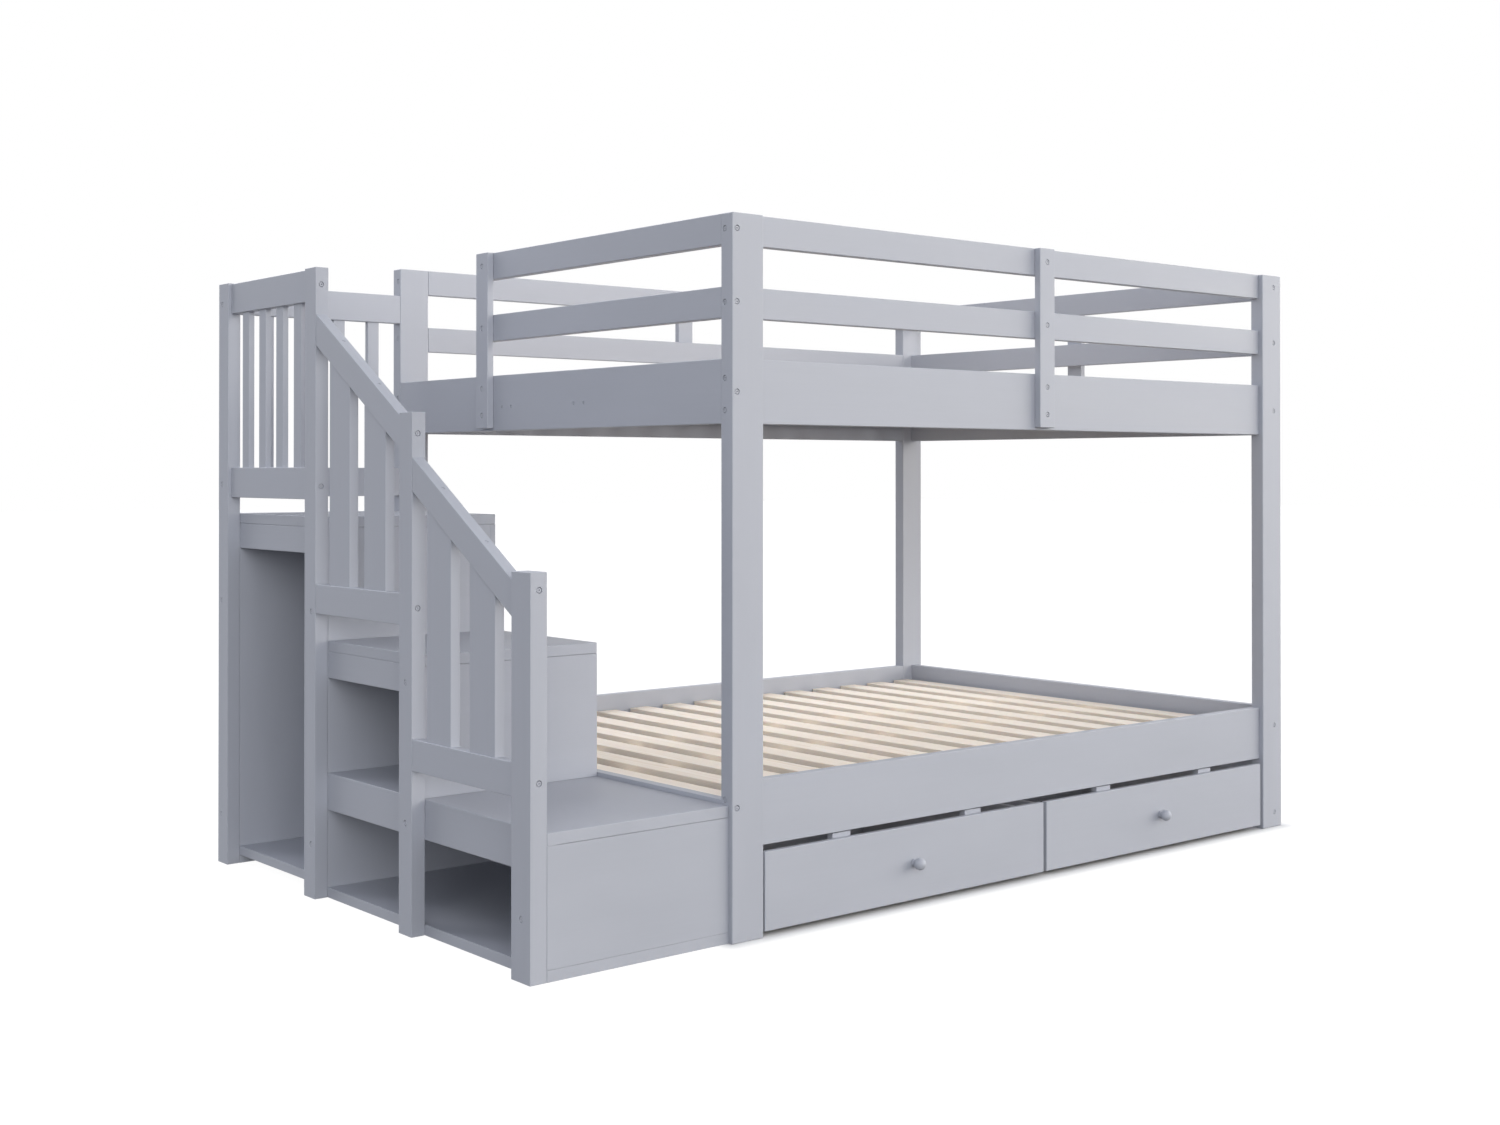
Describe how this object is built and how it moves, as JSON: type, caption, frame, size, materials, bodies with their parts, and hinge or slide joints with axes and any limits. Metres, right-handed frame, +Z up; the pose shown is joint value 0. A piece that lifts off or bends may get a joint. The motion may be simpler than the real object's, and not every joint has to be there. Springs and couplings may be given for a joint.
{
  "type": "bunk bed with drawers",
  "caption": "Full-size bunk bed with guard rails, a storage staircase with open cubbies at one end, and floor drawers on wheels under the lower bed.",
  "frame": {"origin": "centre of the whole object's bounding box, on the floor", "axes": "+X along the bed away from the staircase, -Y the side where the drawers pull out and the stairs begin, +Z up"},
  "size_m": [2.485, 1.496, 1.538],
  "materials": {
    "paint": "satin blue-grey paint on wood",
    "pine": "bare sanded softwood",
    "wheel_plastic": "moulded, matte"
  },
  "bodies": {
    "base": {"back_wall": "paint", "floor_board_high": "paint", "floor_board_low": "paint", "guard_middle_back": "paint", "guard_middle_front": "paint", "guard_middle_left": "paint", "guard_middle_right": "paint", "guard_top_back": "paint", "guard_top_front": "paint", "guard_top_left": "paint", "guard_top_right": "paint", "lower_panel_back": "paint", "lower_panel_front": "paint", "lower_panel_left": "paint", "lower_panel_right": "paint", "lower_slat_base": "pine", "post_back_left": "paint", "post_back_right": "paint", "post_front_left": "paint", "post_front_right": "paint", "riser_1": "paint", "riser_2": "paint", "riser_3_partition": "paint", "side_board_low": "paint", "side_board_middle": "paint", "side_board_tall": "paint", "stair_guard_back": "paint", "stair_guard_lower": "paint", "stair_guard_side": "paint", "stair_guard_upper": "paint", "stair_post_1": "paint", "stair_post_2": "paint", "stair_post_3": "paint", "stair_post_4": "paint", "tread_1_and_shelf": "paint", "tread_2": "paint", "tread_3": "paint", "upper_panel_back": "paint", "upper_panel_front": "paint", "upper_panel_left": "paint", "upper_panel_right": "paint", "upper_slat_base": "pine", "upright_back": "paint", "upright_front": "paint", "upright_left": "paint", "upright_right": "paint"},
    "left_drawer": {"drawer_left_box": "paint", "drawer_left_front": "paint", "drawer_left_knob": "paint"},
    "left_drawer_wheel_front_left": {"drawer_left_wheel_front_left": "wheel_plastic"},
    "left_drawer_wheel_front_right": {"drawer_left_wheel_front_right": "wheel_plastic"},
    "left_drawer_wheel_back_left": {"drawer_left_wheel_back_left": "wheel_plastic"},
    "left_drawer_wheel_back_right": {"drawer_left_wheel_back_right": "wheel_plastic"},
    "right_drawer": {"drawer_right_box": "paint", "drawer_right_front": "paint", "drawer_right_knob": "paint"},
    "right_drawer_wheel_front_left": {"drawer_right_wheel_front_left": "wheel_plastic"},
    "right_drawer_wheel_front_right": {"drawer_right_wheel_front_right": "wheel_plastic"},
    "right_drawer_wheel_back_left": {"drawer_right_wheel_back_left": "wheel_plastic"},
    "right_drawer_wheel_back_right": {"drawer_right_wheel_back_right": "wheel_plastic"}
  },
  "joints": [
    {"name": "left_drawer_slide", "type": "slide", "parent": "base", "child": "left_drawer", "axis": [0, -1, 0], "range_m": [0, 0.45]},
    {"name": "left_drawer_wheel_front_left_turn", "type": "hinge", "parent": "left_drawer", "child": "left_drawer_wheel_front_left", "pos_m": [-0.6385, -0.6587, 0.017], "axis": [1, 0, 0], "continuous": true},
    {"name": "left_drawer_wheel_front_right_turn", "type": "hinge", "parent": "left_drawer", "child": "left_drawer_wheel_front_right", "pos_m": [0.22525, -0.6587, 0.017], "axis": [1, 0, 0], "continuous": true},
    {"name": "left_drawer_wheel_back_left_turn", "type": "hinge", "parent": "left_drawer", "child": "left_drawer_wheel_back_left", "pos_m": [-0.6385, -0.1497, 0.017], "axis": [1, 0, 0], "continuous": true},
    {"name": "left_drawer_wheel_back_right_turn", "type": "hinge", "parent": "left_drawer", "child": "left_drawer_wheel_back_right", "pos_m": [0.22525, -0.1497, 0.017], "axis": [1, 0, 0], "continuous": true},
    {"name": "right_drawer_slide", "type": "slide", "parent": "base", "child": "right_drawer", "axis": [0, -1, 0], "range_m": [0, 0.45]},
    {"name": "right_drawer_wheel_front_left_turn", "type": "hinge", "parent": "right_drawer", "child": "right_drawer_wheel_front_left", "pos_m": [0.26875, -0.6587, 0.017], "axis": [1, 0, 0], "continuous": true},
    {"name": "right_drawer_wheel_front_right_turn", "type": "hinge", "parent": "right_drawer", "child": "right_drawer_wheel_front_right", "pos_m": [1.1325, -0.6587, 0.017], "axis": [1, 0, 0], "continuous": true},
    {"name": "right_drawer_wheel_back_left_turn", "type": "hinge", "parent": "right_drawer", "child": "right_drawer_wheel_back_left", "pos_m": [0.26875, -0.1497, 0.017], "axis": [1, 0, 0], "continuous": true},
    {"name": "right_drawer_wheel_back_right_turn", "type": "hinge", "parent": "right_drawer", "child": "right_drawer_wheel_back_right", "pos_m": [1.1325, -0.1497, 0.017], "axis": [1, 0, 0], "continuous": true}
  ],
  "couplings": [
    {"joint": "left_drawer_wheel_front_left_turn", "follows": "left_drawer_slide", "rad_per_m": 58.824},
    {"joint": "left_drawer_wheel_front_right_turn", "follows": "left_drawer_slide", "rad_per_m": 58.824},
    {"joint": "left_drawer_wheel_back_left_turn", "follows": "left_drawer_slide", "rad_per_m": 58.824},
    {"joint": "left_drawer_wheel_back_right_turn", "follows": "left_drawer_slide", "rad_per_m": 58.824},
    {"joint": "right_drawer_wheel_front_left_turn", "follows": "right_drawer_slide", "rad_per_m": 58.824},
    {"joint": "right_drawer_wheel_front_right_turn", "follows": "right_drawer_slide", "rad_per_m": 58.824},
    {"joint": "right_drawer_wheel_back_left_turn", "follows": "right_drawer_slide", "rad_per_m": 58.824},
    {"joint": "right_drawer_wheel_back_right_turn", "follows": "right_drawer_slide", "rad_per_m": 58.824}
  ]
}
